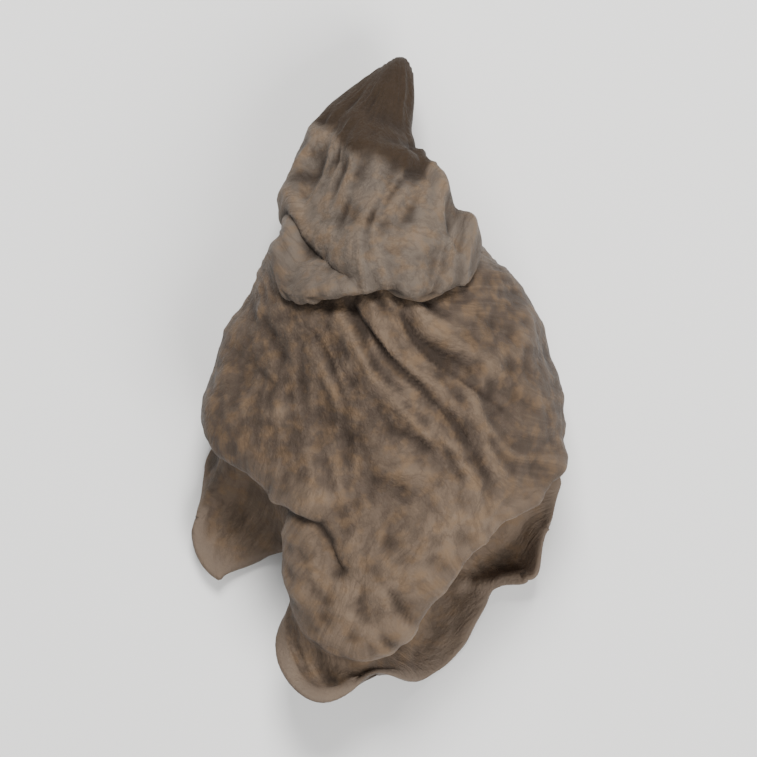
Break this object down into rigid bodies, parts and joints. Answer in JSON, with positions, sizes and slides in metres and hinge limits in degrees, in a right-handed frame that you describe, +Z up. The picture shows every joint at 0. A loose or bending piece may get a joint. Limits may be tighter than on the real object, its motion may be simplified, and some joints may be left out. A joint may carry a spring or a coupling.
{
  "type": "dried wood ear mushroom",
  "caption": "Small dried wood ear: a thin crumpled sheet domed over a hollow, with a pointed end folded back as a hood, wrinkles, rolled margins and a torn notch.",
  "frame": {"origin": "on the resting surface, under the middle of the ear's bounding box", "axes": "+Y towards the pointed end, +Z up out of the dome, X across"},
  "size_m": [0.0138, 0.024, 0.0077],
  "materials": {
    "dried_sheet": "matt, dull grey-brown skin outside, darker and slightly glossy inside"
  },
  "bodies": {
    "root": {"wood_ear": "dried_sheet"}
  },
  "joints": []
}
